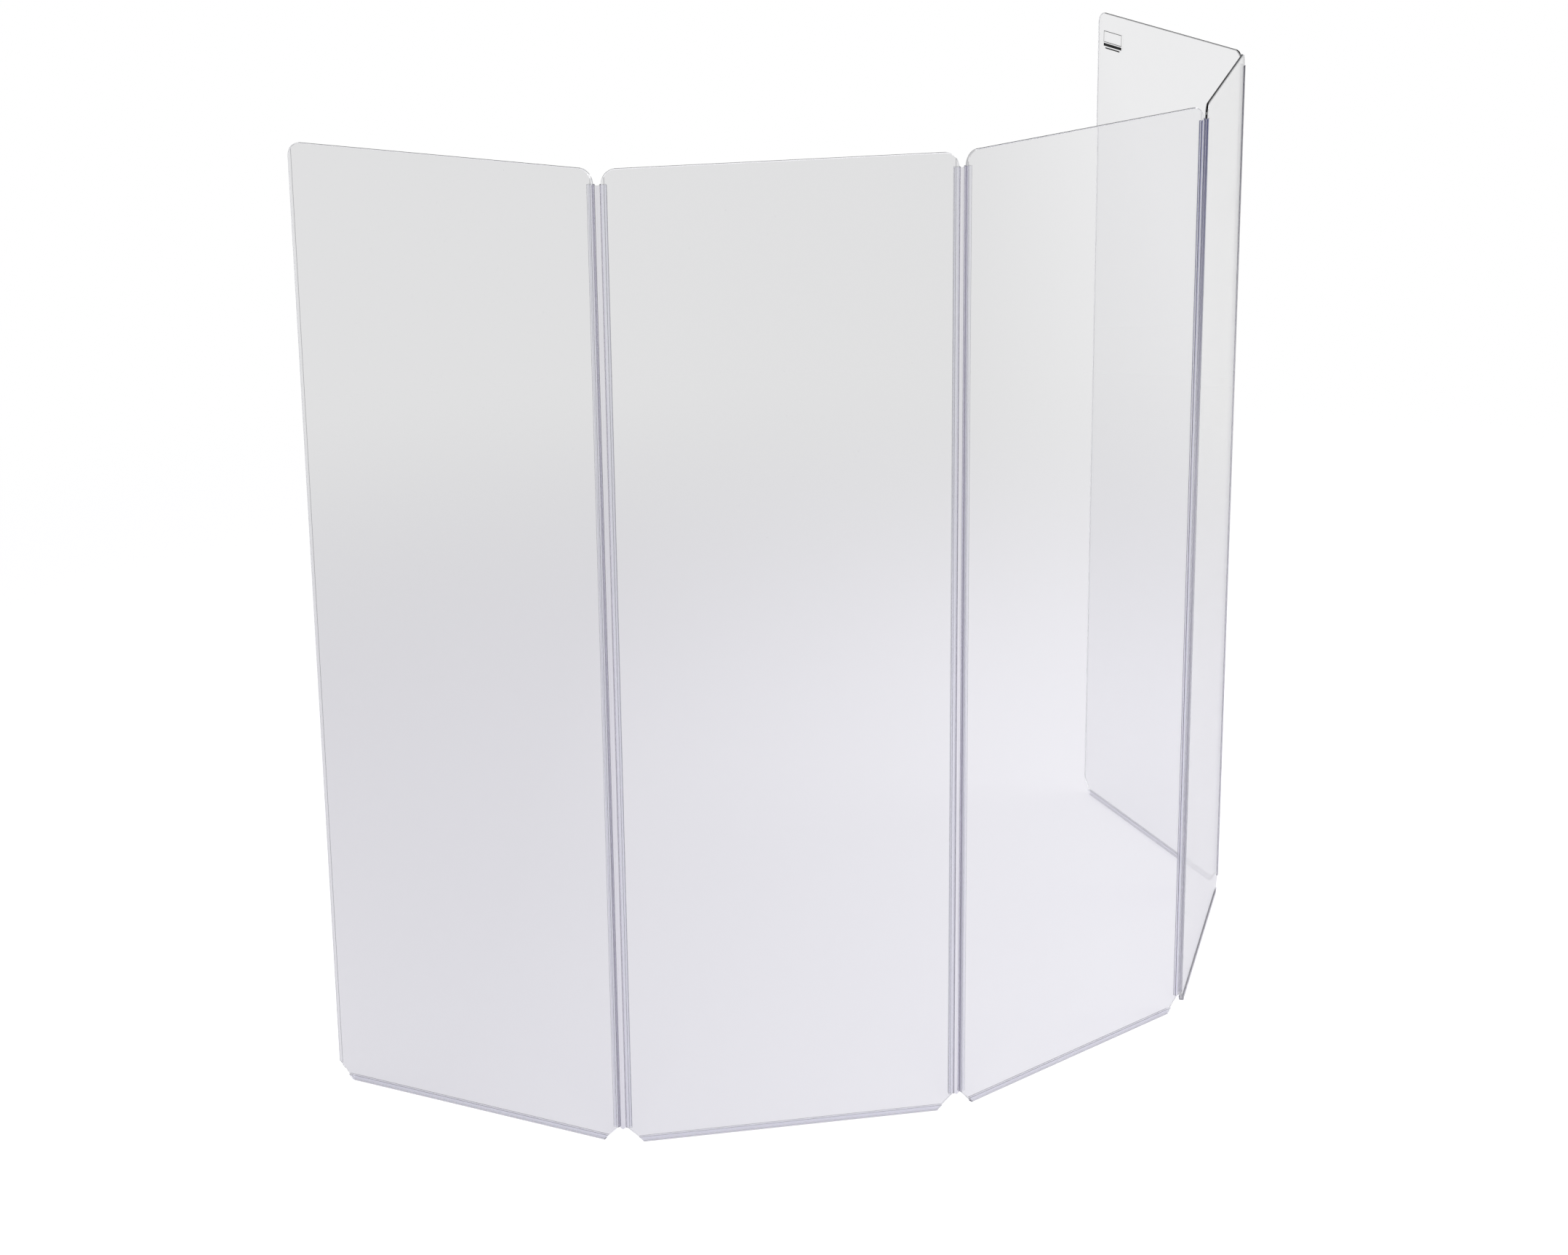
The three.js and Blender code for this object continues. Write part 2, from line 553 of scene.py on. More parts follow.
class ShieldSizes(bpy.types.PropertyGroup):
    """Sizes of the shield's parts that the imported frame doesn't give"""

    corner_radius: bpy.props.FloatProperty(
        name="Top corner radius",
        description="Radius of a sheet's two upper corners",
        default=25.4 * MM,
        min=0.0,
        unit="LENGTH",
    )
    corner_cut: bpy.props.FloatProperty(
        name="Bottom corner cut",
        description="How far a sheet's lower corners are cut off along each side",
        default=30 * MM,
        min=0.0,
        unit="LENGTH",
    )
    edge_chamfer: bpy.props.FloatProperty(
        name="Edge chamfer",
        description="Width of the scraped and polished chamfers along a sheet's edges",
        default=1.3 * MM,
        min=0.0,
        unit="LENGTH",
    )
    # Painted shade: how far in from the upright edges the grey line stands
    heat_line: bpy.props.FloatProperty(
        name="Heat line",
        description="Distance from a sheet's upright edges to the line that flame polishing leaves",
        default=4.8 * MM,
        min=0.0,
        unit="LENGTH",
    )
    # Painted shade: width of the grey line beside the upright edges
    painted_shade_line_width: bpy.props.FloatProperty(
        name="Heat line width",
        description="Width of the line that flame polishing leaves",
        default=1.2 * MM,
        min=0.0,
        unit="LENGTH",
    )
    seat_gap: bpy.props.FloatProperty(
        name="Seat gap",
        description="Clearance between a profile and the sheet inside it",
        default=0.3 * MM,
        min=0.0,
        unit="LENGTH",
    )
    leg: bpy.props.FloatProperty(
        name="Profile leg",
        description="Wall thickness of a profile's two legs",
        default=1.1 * MM,
        min=0.0,
        unit="LENGTH",
    )
    lip: bpy.props.FloatProperty(
        name="Profile lip",
        description="How far the rounded lip reaches along a profile's legs",
        default=1.0 * MM,
        min=0.0,
        unit="LENGTH",
    )
    jaw_back: bpy.props.FloatProperty(
        name="Jaw back",
        description="Wall thickness of a hinge jaw's back",
        default=1.2 * MM,
        min=0.0,
        unit="LENGTH",
    )
    jaw_grip: bpy.props.FloatProperty(
        name="Jaw grip",
        description="How far a jaw reaches over the sheet",
        default=9.5 * MM,
        min=0.0,
        unit="LENGTH",
    )
    jaw_corner: bpy.props.FloatProperty(
        name="Jaw corner radius",
        description="Radius of a jaw's outer corners",
        default=0.8 * MM,
        min=0.0,
        unit="LENGTH",
    )
    trim_base: bpy.props.FloatProperty(
        name="Channel base",
        description="Wall thickness of a bottom channel's base",
        default=1.5 * MM,
        min=0.0,
        unit="LENGTH",
    )
    trim_grip: bpy.props.FloatProperty(
        name="Channel grip",
        description="How far a bottom channel reaches up the sheet",
        default=8.7 * MM,
        min=0.0,
        unit="LENGTH",
    )
    trim_corner: bpy.props.FloatProperty(
        name="Channel corner radius",
        description="Radius of a bottom channel's lower corners",
        default=1.0 * MM,
        min=0.0,
        unit="LENGTH",
    )
    seat_corner: bpy.props.FloatProperty(
        name="Seat corner radius",
        description="Radius of the two corners inside a profile",
        default=0.35 * MM,
        min=0.0,
        unit="LENGTH",
    )
    # Painted shade: how much further the dark colour reaches over the lips
    dark_lip: bpy.props.FloatProperty(
        name="Dark lip",
        description="How much further the shade of the lips reaches where the hinges are dark",
        default=1.8 * MM,
        min=0.0,
        unit="LENGTH",
    )
    # Painted shade: how far the dark colour of the back reaches over the legs
    dark_back: bpy.props.FloatProperty(
        name="Dark back",
        description="How far the shade of the back reaches over the legs where the hinges are dark",
        default=1.5 * MM,
        min=0.0,
        unit="LENGTH",
    )
    web: bpy.props.FloatProperty(
        name="Web",
        description="Thickness of a hinge's soft web",
        default=0.9 * MM,
        min=0.0,
        unit="LENGTH",
    )
    web_root: bpy.props.FloatProperty(
        name="Web root",
        description="Thickness of the web where it grows out of a jaw",
        default=2.0 * MM,
        min=0.0,
        unit="LENGTH",
    )
    top_sag: bpy.props.FloatProperty(
        name="Web sag, top",
        description="How far the web's upper end hangs below the jaws' ends",
        default=2.0 * MM,
        min=0.0,
        unit="LENGTH",
    )
    foot_sag: bpy.props.FloatProperty(
        name="Web sag, foot",
        description="How far the web's lower end hangs below the jaws' ends",
        default=4.5 * MM,
        min=0.0,
        unit="LENGTH",
    )


class ShieldColours(bpy.types.PropertyGroup):
    """Colours of the shield and its studio"""

    sheet: bpy.props.FloatVectorProperty(
        name="Sheet",
        description="What is left of white light behind one sheet",
        subtype="COLOR",
        size=3,
        min=0.0,
        max=1.0,
        default=linear("#F8F8F9"),
    )
    edge: bpy.props.FloatVectorProperty(
        name="Sheet edge",
        description="Shade of a sheet's upright and lower edges",
        subtype="COLOR",
        size=3,
        min=0.0,
        max=1.0,
        default=linear("#F6F6F8"),
    )
    # Painted shade: grey standing in for the dimness seen down through the whole sheet
    edge_top: bpy.props.FloatVectorProperty(
        name="Sheet edge, top",
        description="Shade of a sheet's upper edge, which is seen down through the whole sheet",
        subtype="COLOR",
        size=3,
        min=0.0,
        max=1.0,
        default=linear("#95969A"),
    )
    # Painted shade: a darker grey for the upper edges right of the middle sheet
    edge_top_far: bpy.props.FloatVectorProperty(
        name="Sheet edge, top, far side",
        description="Shade of the upper edge right of the middle sheet, where there is less light",
        subtype="COLOR",
        size=3,
        min=0.0,
        max=1.0,
        default=linear("#33373B"),
    )
    chamfer: bpy.props.FloatVectorProperty(
        name="Chamfer",
        description="Shade of the polished chamfers along a sheet's edges",
        subtype="COLOR",
        size=3,
        min=0.0,
        max=1.0,
        default=linear("#F4F4F6"),
    )
    # Painted shade: grey of the line beside the upright edges
    heat_line: bpy.props.FloatVectorProperty(
        name="Heat line",
        description="Shade of the line that flame polishing leaves beside a sheet's upright edges",
        subtype="COLOR",
        size=3,
        min=0.0,
        max=1.0,
        default=linear("#9A9A9E"),
    )
    dust: bpy.props.FloatVectorProperty(
        name="Dust",
        description="Shade of a speck of dust on a sheet",
        subtype="COLOR",
        size=3,
        min=0.0,
        max=1.0,
        default=linear("#B9B8BE"),
    )
    vinyl: bpy.props.FloatVectorProperty(
        name="Rigid vinyl",
        description="Tint of a jaw or channel seen through one wall",
        subtype="COLOR",
        size=3,
        min=0.0,
        max=1.0,
        default=linear("#F8F8FC"),
    )
    vinyl_depth: bpy.props.FloatVectorProperty(
        name="Rigid vinyl, deep",
        description="Colour of a hinge jaw where it is seen edge on",
        subtype="COLOR",
        size=3,
        min=0.0,
        max=1.0,
        default=linear("#E6E4F1"),
    )
    channel_depth: bpy.props.FloatVectorProperty(
        name="Foot channel, deep",
        description="Colour of a bottom channel where it is seen edge on",
        subtype="COLOR",
        size=3,
        min=0.0,
        max=1.0,
        default=linear("#F9F9FB"),
    )
    channel_lip: bpy.props.FloatVectorProperty(
        name="Foot channel, lip",
        description="Shade of the bottom channels' rounded lips",
        subtype="COLOR",
        size=3,
        min=0.0,
        max=1.0,
        default=linear("#E6E6EA"),
    )
    # Painted shade: dark colour high up on the hinge right of the middle sheet
    vinyl_far: bpy.props.FloatVectorProperty(
        name="Rigid vinyl, far side",
        description="Colour of the vinyl's depth high up on the hinge right of the middle sheet",
        subtype="COLOR",
        size=3,
        min=0.0,
        max=1.0,
        default=linear("#666A9A"),
    )
    # Painted shade: darker colour high up on the last hinge
    vinyl_last: bpy.props.FloatVectorProperty(
        name="Rigid vinyl, last hinge",
        description="Colour of the vinyl's depth high up on the last hinge",
        subtype="COLOR",
        size=3,
        min=0.0,
        max=1.0,
        default=linear("#3E3C58"),
    )
    vinyl_lip: bpy.props.FloatVectorProperty(
        name="Rigid vinyl, lip",
        description="Shade of the hinge jaws' rounded lips",
        subtype="COLOR",
        size=3,
        min=0.0,
        max=1.0,
        default=linear("#D2D2D8"),
    )
    web: bpy.props.FloatVectorProperty(
        name="Soft web",
        description="Tint of the soft web",
        subtype="COLOR",
        size=3,
        min=0.0,
        max=1.0,
        default=linear("#F4F3F8"),
    )
    ink: bpy.props.FloatVectorProperty(
        name="Ink",
        description="Colour of the printed mark",
        subtype="COLOR",
        size=3,
        min=0.0,
        max=1.0,
        default=linear("#0E0E10"),
    )
    floor: bpy.props.FloatVectorProperty(
        name="Floor",
        description="Colour of the studio floor",
        subtype="COLOR",
        size=3,
        min=0.0,
        max=1.0,
        default=linear("#EDECF1"),
    )


# Pieces


def sheet_slot(face, number, height, corner_radius, heat_line):
    """The slot of a sheet's face. The sheet stands with its foot at zero, outer side to -Y."""
    middle = face.calc_center_median()
    # Painted shade: the further a sheet is from the lamps, the more of its upper end gets the dark
    # edge colour
    at_top = middle.z > height - corner_radius
    painted_shade_corner = number > MIDDLE and middle.x < 0
    if not at_top or abs(face.normal.x) >= 0.1 and not painted_shade_corner:
        edge, outer_chamfer = SHEET_EDGE, SHEET_CHAMFER
    else:
        edge = SHEET_PAINTED_SHADE_TOP
        outer_chamfer = SHEET_PAINTED_SHADE_TOP if number == MIDDLE else SHEET_CHAMFER
    if abs(face.normal.y) < 0.01:
        return edge
    if abs(face.normal.y) < 0.999:
        return outer_chamfer if middle.y < 0 else SHEET_CHAMFER
    # Painted shade: the grey line beside the upright edges, on the inner face
    if middle.y > 0 and heat_line[0] < abs(middle.x) < heat_line[1]:
        return SHEET_PAINTED_SHADE_LINE
    return SHEET_FACE


class SHIELD_OT_add_sheets(bpy.types.Operator):
    """Adds the clear sheets: rounded at the top, corners cut off at the foot, all edges polished"""

    bl_idname = "shield.add_sheets"
    bl_label = "Clear Sheets"

    def execute(self, context):
        sizes, colours = context.scene.shield_sizes, context.scene.shield_colours
        width, thickness, height = sheet_size()
        faces = once("cast_acrylic_polished", cast_acrylic_faces, colours)
        for number in SHEETS:
            # Painted shade: the upper edges get a grey colour, a darker one on the sheets right of
            # the middle, which seen from the front gather less light in their edges
            painted_shade_tops = ("top", colours.edge_top, 0.8)
            if number > MIDDLE:
                painted_shade_tops = ("far_top", colours.edge_top_far, 0.9)
            edges = [
                once(f"acrylic_edge_{zone}", acrylic_edge, f"acrylic_edge_{zone}", colour, clear)
                for zone, colour, clear in (
                    ("upright", colours.edge, 0.4),
                    painted_shade_tops,
                    ("chamfer", colours.chamfer, 0.4),
                    ("heat_line", colours.heat_line, 0.75),
                )
            ]
            bm = bmesh.new()
            upright = (
                Matrix.Translation((0, -thickness / 2, height / 2))
                @ Matrix.Rotation(math.pi / 2, 4, "X")
                @ Matrix.Diagonal((width, height, 1, 1))
            )
            bmesh.ops.create_grid(bm, x_segments=1, y_segments=1, size=0.5, matrix=upright)
            corners = [v.co.copy() for v in bm.verts]
            rounded(bm, [c for c in corners if c.z > height / 2], sizes.corner_radius, 16)
            rounded(bm, [c for c in corners if c.z < height / 2], sizes.corner_cut, 1)
            pushed(bm, bm.faces, (0, thickness, 0))
            rims = [e for e in bm.edges if abs(e.verts[0].co.y - e.verts[1].co.y) < TINY]
            bmesh.ops.bevel(
                bm,
                geom=rims,
                offset=sizes.edge_chamfer,
                segments=1,
                profile=0.5,
                affect="EDGES",
                material=-1,
            )
            # Painted shade: a narrow grey line beside the upright edges, on the inner face, stands
            # in for the dark line that the edge shows through the sheet
            line_edge = width / 2 - sizes.heat_line
            heat_line = (line_edge - sizes.painted_shade_line_width, line_edge)
            for x in heat_line:
                cut_across(bm, (x, 0, 0), (1, 0, 0))
                cut_across(bm, (-x, 0, 0), (1, 0, 0))
            bm.normal_update()
            for face in bm.faces:
                face.material_index = sheet_slot(
                    face, number, height, sizes.corner_radius, heat_line
                )
            name = f"clear_sheet_{number}"
            piece = weighted(finished(bm, name, sheet_place(number), [faces, *edges]))
            must_fit(piece, f"panel_{number}")
            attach(piece, f"panel_{number}")
            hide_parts(f"panel_{number}")
        return {"FINISHED"}


def channel(bm, sizes, grip, back, corner, length, dark=False):
    """A push-on channel along Z. The sheet's edge lies at zero, and the back faces +X."""
    slot = sheet_size().y / 2 + sizes.seat_gap
    outer = slot + sizes.leg
    inside, outside = sizes.seat_gap, sizes.seat_gap + back
    section = [
        Vector(p).to_3d()
        for p in (
            (-grip, slot),
            (-grip, outer),
            (outside, outer),
            (outside, -outer),
            (-grip, -outer),
            (-grip, -slot),
            (inside, -slot),
            (inside, slot),
        )
    ]
    bm.faces.new([bm.verts.new(p) for p in section])
    rounded(bm, section[2:4], corner, 5)
    almost_round = 0.42
    rounded(bm, section[:2] + section[4:6], sizes.leg * almost_round, 3)
    rounded(bm, section[6:], sizes.seat_corner, 2)
    pushed(bm, bm.faces, (0, 0, length))
    lip_end, back_start, seam = sizes.lip - grip, inside, 0.0
    if dark:
        # Painted shade: the dark colour of the lips and the back spreads over the legs, but not over
        # the web's root
        lip_end += sizes.dark_lip
        back_start -= sizes.dark_back
        seam = sizes.web_root / 2
        cut_across(bm, (0, seam, 0), (0, 1, 0))
        cut_across(bm, (0, -seam, 0), (0, 1, 0))
    cut_across(bm, (back_start, 0, 0), (1, 0, 0))
    cut_across(bm, (lip_end, 0, 0), (1, 0, 0))
    for face in bm.faces:
        middle = face.calc_center_median()
        if middle.x < lip_end:
            face.material_index = PROFILE_LIP
        elif middle.x > back_start - TINY and abs(middle.y) >= seam:
            face.material_index = PROFILE_BACK
        else:
            face.material_index = PROFILE_WALL


class SHIELD_OT_add_jaws(bpy.types.Operator):
    """Adds the stiff jaws of the hinges, two to a hinge, each pushed on to a sheet's edge"""

    bl_idname = "shield.add_jaws"
    bl_label = "Hinge Jaws"

    def execute(self, context):
        sizes, colours = context.scene.shield_sizes, context.scene.shield_colours
        # Painted shade: the two hinges on the right get a dark colour high up on their backs and
        # lips, as seen from the front they gather less light
        dark = {MIDDLE: ("far", colours.vinyl_far), HINGES[-1]: ("last", colours.vinyl_last)}
        for hinge in HINGES:
            for side in ("left", "right"):
                sheet = hinge if side == "left" else hinge + 1
                vinyl = rigid_vinyl(
                    colours,
                    "upright",
                    ALONG_Z,
                    colours.vinyl_depth,
                    colours.vinyl_lip,
                    dark.get(hinge),
                )
                node = f"hinge_{hinge}_{side}_jaw"
                low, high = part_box(node)
                bm = bmesh.new()
                channel(
                    bm,
                    sizes,
                    sizes.jaw_grip,
                    sizes.jaw_back,
                    sizes.jaw_corner,
                    high.z - low.z,
                    hinge in dark,
                )
                piece = finished(bm, f"clear_{node}", jaw_place(hinge, side), vinyl)
                weighted(piece)
                must_fit(piece, node)
                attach(piece, f"panel_{sheet}")
                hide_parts(node)
        return {"FINISHED"}


class SHIELD_OT_add_foot_channels(bpy.types.Operator):
    """Adds the clear channels that the sheets stand on, mitred to follow the cut corners"""

    bl_idname = "shield.add_foot_channels"
    bl_label = "Foot Channels"

    def execute(self, context):
        sizes, colours = context.scene.shield_sizes, context.scene.shield_colours
        vinyl = rigid_vinyl(
            colours, "lengthwise", ALONG_SHEET, colours.channel_depth, colours.channel_lip
        )
        foot = sheet_size().x - 2 * sizes.corner_cut
        # Turns a channel from upright to lying, with its back down
        lying = Matrix.Translation((-foot / 2, 0, 0)) @ Matrix.Rotation(math.pi / 2, 4, "Y")
        for number in SHEETS:
            bm = bmesh.new()
            channel(bm, sizes, sizes.trim_grip, sizes.trim_base, sizes.trim_corner, foot)
            bmesh.ops.transform(bm, matrix=lying, verts=bm.verts)
            # Above the sheet's foot the ends flare out along the cut corners
            cut_across(bm, (0, 0, 0), UP)
            for vertex in bm.verts:
                if vertex.co.z > 0:
                    vertex.co.x += math.copysign(vertex.co.z, vertex.co.x)
            node = f"bottom_trim_{number}"
            piece = finished(bm, f"clear_foot_channel_{number}", sheet_place(number), vinyl)
            weighted(piece)
            must_fit(piece, node)
            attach(piece, f"panel_{number}")
            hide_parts(node)
        return {"FINISHED"}


class SHIELD_OT_add_webs(bpy.types.Operator):
    """Adds the soft webs of the hinges, in halves that grow out of their jaws and meet halfway"""

    bl_idname = "shield.add_webs"
    bl_label = "Hinge Webs"

    def execute(self, context):
        sizes, colours = context.scene.shield_sizes, context.scene.shield_colours
        vinyl = soft_vinyl(colours)
        points = bend_points()
        # What stays free between a web and its jaw, and between its two halves
        hair = 0.03 * MM
        flare = 0.3 * MM
        # Shares of a half's straight part, the shorter ones near the bend
        shares = (0.12, 0.12, 0.13, 0.13, 0.2, 0.3)
        for hinge in HINGES:
            node = f"hinge_{hinge}_web"
            low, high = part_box(node)
            for side, sheet in (("left", hinge), ("right", hinge + 1)):
                other = points[hinge, hinge + 1 if sheet == hinge else hinge]
                bend = points[hinge, sheet]
                place = jaw_place(hinge, side)
                out = place.col[0].to_3d()
                back = (place.translation - bend).dot(out) + sizes.seat_gap + sizes.jaw_back
                along = Vector((other.x - bend.x, other.y - bend.y, 0))
                half = along.length / 2
                along.normalize()
                turn = math.atan2(out.cross(along).z, out.dot(along))
                root = -back - hair
                radius = (root - flare) / math.tan(abs(turn) / 2)
                # Built with its own X out of the jaw and the bend at zero
                bm = bmesh.new()
                bmesh.ops.create_grid(
                    bm,
                    x_segments=1,
                    y_segments=1,
                    size=0.5,
                    matrix=Matrix.Translation((-root, 0, (high.z - low.z) / 2))
                    @ Matrix.Rotation(math.pi / 2, 4, "Y")
                    @ Matrix.Diagonal((high.z - low.z, sizes.web_root, 1, 1)),
                )
                tip = pushed(bm, bm.faces, (flare, 0, 0))
                slim = sizes.web / sizes.web_root
                bmesh.ops.scale(bm, vec=(1, slim, 1), verts=list({v for f in tip for v in f.verts}))
                made = bmesh.ops.spin(
                    bm,
                    geom=whole(tip),
                    cent=(flare - root, math.copysign(radius, turn), 0),
                    axis=UP,
                    angle=turn,
                    steps=6,
                )
                tip = [g for g in made["geom_last"] if isinstance(g, bmesh.types.BMFace)]
                straight = half - hair / 2 - (root - flare)
                direction = Vector((math.cos(turn), math.sin(turn), 0))
                for share in shares:
                    tip = pushed(bm, tip, direction * straight * share)
                # The soft web's ends hang a little between the jaws, most where its halves meet
                for vertex in bm.verts:
                    from_root = (vertex.co.xy - Vector((-root, 0))).length
                    reach = min(1.0, from_root / (half + root))
                    upper_end = vertex.co.z > (high.z - low.z) / 2
                    sag = sizes.top_sag if upper_end else sizes.foot_sag
                    vertex.co.z -= sag * math.sin(reach * math.pi / 2)
                origin = Vector((bend.x, bend.y, low.z))
                piece = finished(bm, f"clear_{node}_{side}_half", standing(origin, out), [vinyl])
                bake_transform(piece)
                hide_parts(node)
        return {"FINISHED"}


class SHIELD_OT_add_printed_mark(bpy.types.Operator):
    """Adds the plain printed block near the upper corner of the last sheet's free edge"""

    bl_idname = "shield.add_printed_mark"
    bl_label = "Printed Mark"

    def execute(self, context):
        colours = context.scene.shield_colours
        width, thickness, height = sheet_size()
        ink = once("screen_printed_ink", printing_ink, colours)
        film = 0.06 * MM
        right, top = width / 2 - 27 * MM, height - 37 * MM
        bm = bmesh.new()

        def printed(left, wide, below, high, hole=0):
            """A bar of ink, or an open frame of that line width."""
            x = right - left - wide / 2
            y = thickness / 2 + film / 2
            z = top - below - high / 2
            flat = Matrix.Translation((x, y, z)) @ Matrix.Rotation(-math.pi / 2, 4, "X")
            made = bmesh.ops.create_grid(
                bm,
                x_segments=1,
                y_segments=1,
                size=0.5,
                matrix=flat @ Matrix.Diagonal((wide, high, 1, 1)),
            )
            face = made["verts"][0].link_faces[0]
            if hole:
                bmesh.ops.inset_region(
                    bm, faces=[face], thickness=hole, use_boundary=True, use_even_offset=True
                )
                bmesh.ops.delete(bm, geom=[face], context="FACES")

        printed(0, 80 * MM, 0, 24 * MM, hole=1.2 * MM)
        printed(0, 80 * MM, 26 * MM, 6 * MM)
        printed(8 * MM, 64 * MM, 34.5 * MM, 2.6 * MM)
        bmesh.ops.solidify(bm, geom=bm.faces[:], thickness=film)
        last = SHEETS[-1]
        piece = finished(bm, "printed_mark", sheet_place(last), [ink], smooth=False)
        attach(piece, f"panel_{last}")
        return {"FINISHED"}


# Studio


class SHIELD_OT_build_studio(bpy.types.Operator):
    """Adds the white floor, the world, two large soft lamps and the camera"""

    bl_idname = "shield.build_studio"
    bl_label = "Studio"

    def execute(self, context):
        scene = context.scene
        add_floor(scene.shield_colours)
        add_world(scene)
        add_lamps(scene)
        add_camera(scene)
        scene.view_settings.view_transform = "Standard"
        # Light crosses many walls on its way through the folded sheets
        bounces = 32
        scene.cycles.max_bounces = bounces
        scene.cycles.transmission_bounces = bounces
        scene.cycles.transparent_max_bounces = bounces
        return {"FINISHED"}


def seen_levels(tree, other, camera, glossy, transmission):
    """A strength of its own for the camera, for reflections, for clear plastic and for the rest."""
    path = add(tree, "LightPath")
    level = other
    for output, seen in (
        ("Is Camera Ray", camera),
        ("Is Glossy Ray", glossy),
        ("Is Transmission Ray", transmission),
    ):
        level = add(
            tree,
            "Mix",
            {"data_type": "FLOAT"},
            {FACTOR: path.outputs[output], NUMBER_A: level, NUMBER_B: seen},
        ).outputs[0]
    return level


def add_floor(colours):
    """A large matt floor, which keeps the shield's soft shadow and fades to plain white."""
    material, tree = blank("matt_white_floor")
    place = add(tree, "TexCoord").outputs["Object"]
    grain = add(tree, "TexNoise", inputs={"Vector": place, "Scale": 180.0, "Detail": 4.0})
    colour = add(
        tree,
        "Mix",
        {"data_type": "RGBA"},
        {
            FACTOR: grain.outputs["Fac"],
            COLOUR_A: rgba(colours.floor),
            COLOUR_B: rgba(colours.floor, 0.985),
        },
    )
    paint = add(tree, "BsdfDiffuse", inputs={"Color": colour.outputs[COLOUR_RESULT]})
    # Painted light: seen through the sheets, the floor's glow behind the shield is a little brighter
    # on the right
    across = add(tree, "VectorMath", {"operation": "DOT_PRODUCT"}, {0: place, 1: (1, -1, 0)})
    levels = []
    for left, right, dim, bright in ((-1.2, 0.6, 0.02, 0.12), (0.3, 1.5, 0.79, 0.91)):
        level = add(
            tree,
            "MapRange",
            inputs={
                VALUE: across.outputs["Value"],
                FROM_MIN: left,
                FROM_MAX: right,
                TO_MIN: dim,
                TO_MAX: bright,
            },
        )
        levels.append(level.outputs[0])
    near_level = seen_levels(tree, 0.0, camera=0.36, glossy=0.0, transmission=levels[0])
    far_level = seen_levels(tree, 0.6, camera=1.0, glossy=0.84, transmission=levels[1])
    glow = add(tree, "Emission", inputs={"Color": (1, 1, 1, 1), "Strength": near_level})
    near = add(tree, "AddShader", inputs={0: paint.outputs[0], 1: glow.outputs[0]})
    far = add(tree, "Emission", inputs={"Color": (1, 1, 1, 1), "Strength": far_level})
    # The painted floor reaches 1.6 m from the middle, and from 5 m on all is plain white
    distance = add(tree, "VectorMath", {"operation": "LENGTH"}, {0: place})
    fade = add(
        tree,
        "MapRange",
        {"interpolation_type": "SMOOTHSTEP"},
        {
            VALUE: distance.outputs["Value"],
            FROM_MIN: 1.6,
            FROM_MAX: 5.0,
            TO_MIN: 0.0,
            TO_MAX: 1.0,
        },
    )
    mixed = add(
        tree,
        "MixShader",
        inputs={FACTOR: fade.outputs[0], SHADER_A: near.outputs[0], SHADER_B: far.outputs[0]},
    )
    add(tree, "OutputMaterial", inputs={"Surface": mixed.outputs[0]})
    bm = bmesh.new()
    bmesh.ops.create_circle(bm, cap_ends=True, radius=60, segments=96)
    # Just under the channels, so that no face of theirs lies in it
    under = Matrix.Translation((0, 0, -0.3 * MM))
    floor = finished(bm, "studio_floor", under, [material], smooth=False)


def add_world(scene):
    """White all round for the camera, and darker overhead in reflections, as a ceiling is."""
    world = bpy.data.worlds.new("white_studio")
    world.use_nodes = True
    tree = world.node_tree
    tree.nodes.clear()
    way = add(tree, "TexCoord").outputs["Generated"]
    height = add(tree, "SeparateXYZ", inputs={0: way}).outputs["Z"]
    mirrored = add(
        tree,
        "MapRange",
        inputs={VALUE: height, FROM_MIN: 0.02, FROM_MAX: 0.12, TO_MIN: 0.84, TO_MAX: 0.15},
    )
    through = add(
        tree,
        "MapRange",
        inputs={VALUE: height, FROM_MIN: 0.25, FROM_MAX: 0.7, TO_MIN: 0.8, TO_MAX: 0.55},
    )
    level = seen_levels(
        tree, 0.6, camera=1.0, glossy=mirrored.outputs[0], transmission=through.outputs[0]
    )
    sky = add(tree, "Background", inputs={"Color": (1, 1, 1, 1), "Strength": level})
    add(tree, "OutputWorld", inputs={"Surface": sky.outputs[0]})
    scene.world = world


def add_lamps(scene):
    """Two large soft lamps, one on either side of the camera."""
    for name, place, size, power in (
        ("key_lamp", (-3.2, -3.6, 4.6), 3.5, 150),
        ("fill_lamp", (3.6, -1.5, 4.4), 3.0, 90),
    ):
        data = bpy.data.lights.new(name, "AREA")
        data.shape = "DISK"
        data.size = size
        data.energy = power
        lamp = bpy.data.objects.new(name, data)
        lamp.location = place
        aim = Vector((0, 0, 0.6)) - Vector(place)
        lamp.rotation_euler = aim.to_track_quat("-Z", "Y").to_euler()
        scene.collection.objects.link(lamp)


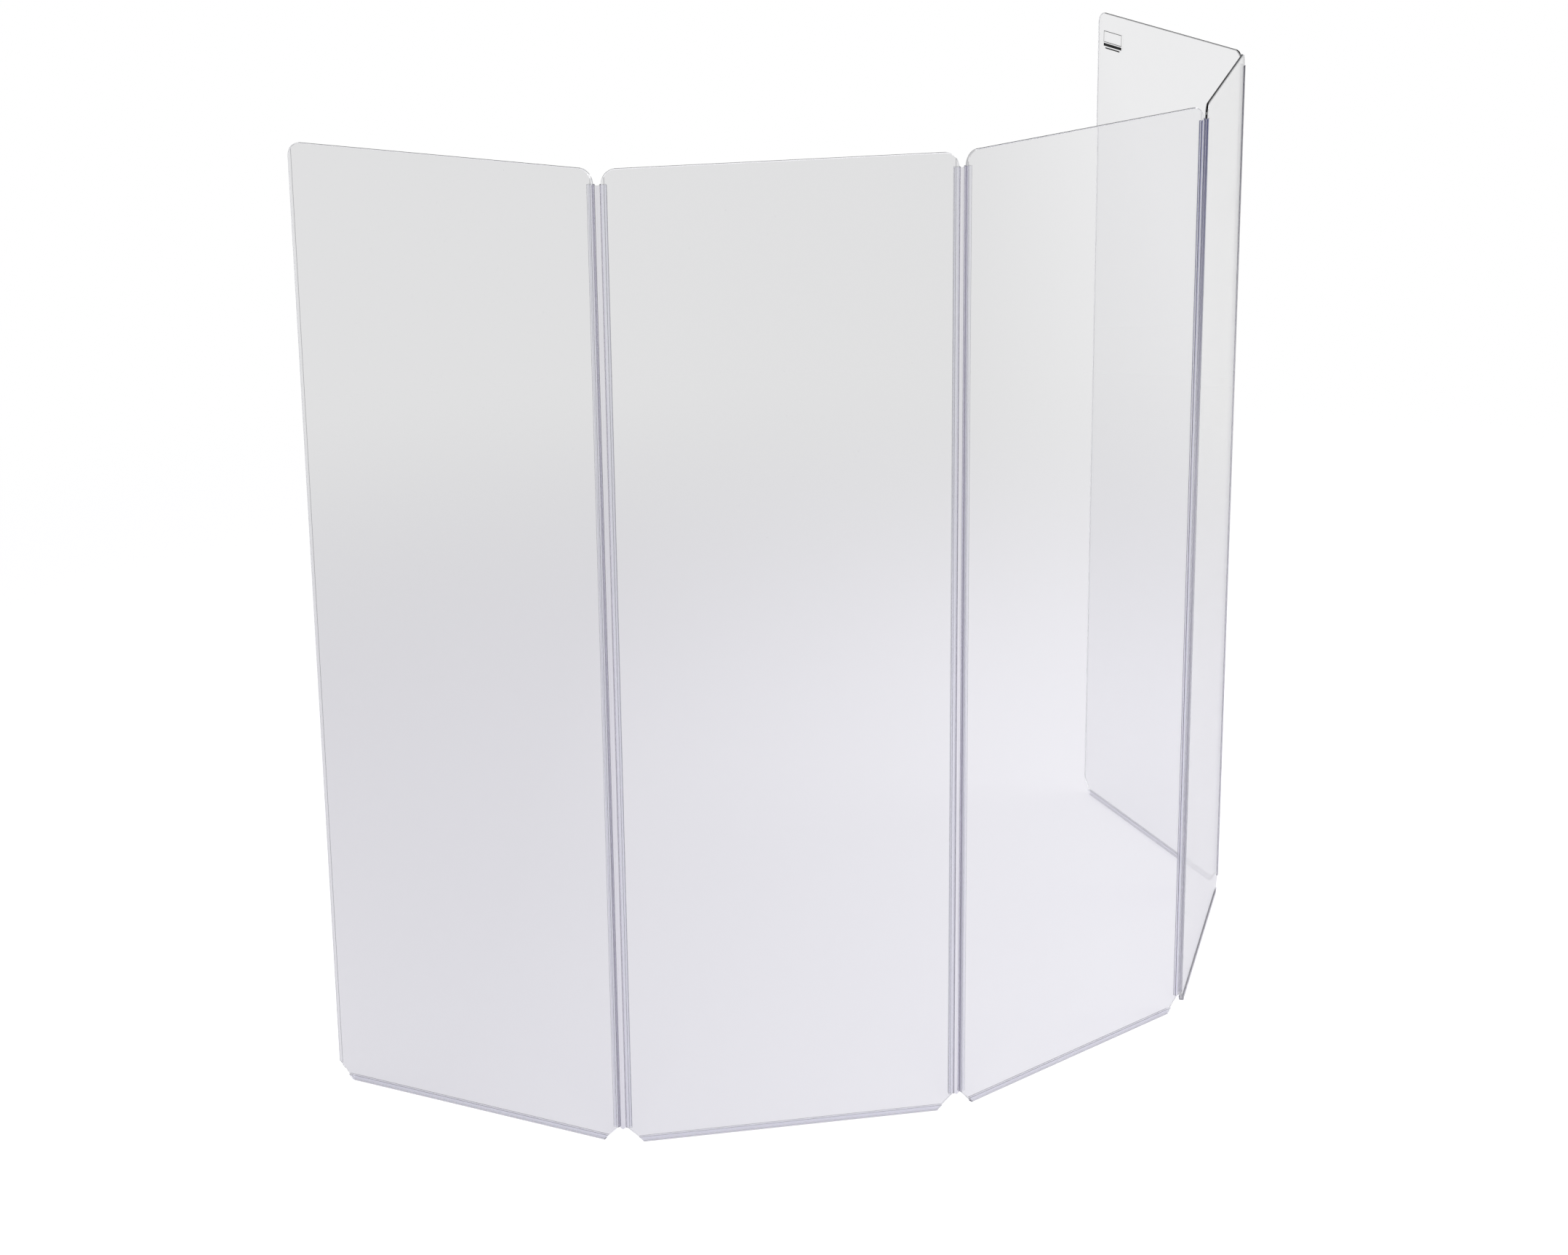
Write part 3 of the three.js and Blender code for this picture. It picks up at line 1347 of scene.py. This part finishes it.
def add_camera(scene):
    """The photograph's point of view, fitted to the corners of the five sheets."""
    data = bpy.data.cameras.new("camera")
    data.sensor_width = 36
    data.lens = 76.81
    data.clip_end = 200
    camera = bpy.data.objects.new("camera", data)
    camera.location = (-4.3085, -4.3592, 2.818)
    heading, dip, roll = 0.7428, 0.3248, -0.0105
    ahead = Vector(
        (
            math.sin(heading) * math.cos(dip),
            math.cos(heading) * math.cos(dip),
            -math.sin(dip),
        )
    )
    turn = ahead.to_track_quat("-Z", "Y") @ Quaternion((0, 0, 1), roll)
    camera.rotation_euler = turn.to_euler()
    scene.collection.objects.link(camera)
    scene.camera = camera


class SHIELD_PT_panel(bpy.types.Panel):
    """Lists the shield's settings and its pieces"""

    bl_idname = "SHIELD_PT_panel"
    bl_label = "Drum Shield"
    bl_space_type = "VIEW_3D"
    bl_region_type = "UI"
    bl_category = "Drum Shield"

    def draw(self, context):
        for group in (context.scene.shield_sizes, context.scene.shield_colours):
            box = self.layout.box()
            for key in group.__annotations__:
                box.prop(group, key)
        for operator in OPERATORS:
            self.layout.operator(operator.bl_idname)


OPERATORS = (
    SHIELD_OT_add_sheets,
    SHIELD_OT_add_jaws,
    SHIELD_OT_add_foot_channels,
    SHIELD_OT_add_webs,
    SHIELD_OT_add_printed_mark,
    SHIELD_OT_build_studio,
)
CLASSES = (ShieldSizes, ShieldColours, *OPERATORS, SHIELD_PT_panel)


def register():
    for cls in CLASSES:
        bpy.utils.register_class(cls)
    bpy.types.Scene.shield_sizes = bpy.props.PointerProperty(type=ShieldSizes)
    bpy.types.Scene.shield_colours = bpy.props.PointerProperty(type=ShieldColours)


def unregister():
    del bpy.types.Scene.shield_colours
    del bpy.types.Scene.shield_sizes
    for cls in reversed(CLASSES):
        bpy.utils.unregister_class(cls)


def main():
    register()
    bpy.ops.shield.add_sheets()
    bpy.ops.shield.add_jaws()
    bpy.ops.shield.add_foot_channels()
    bpy.ops.shield.add_webs()
    bpy.ops.shield.add_printed_mark()
    bpy.ops.shield.build_studio()


if __name__ == "__main__":
    main()
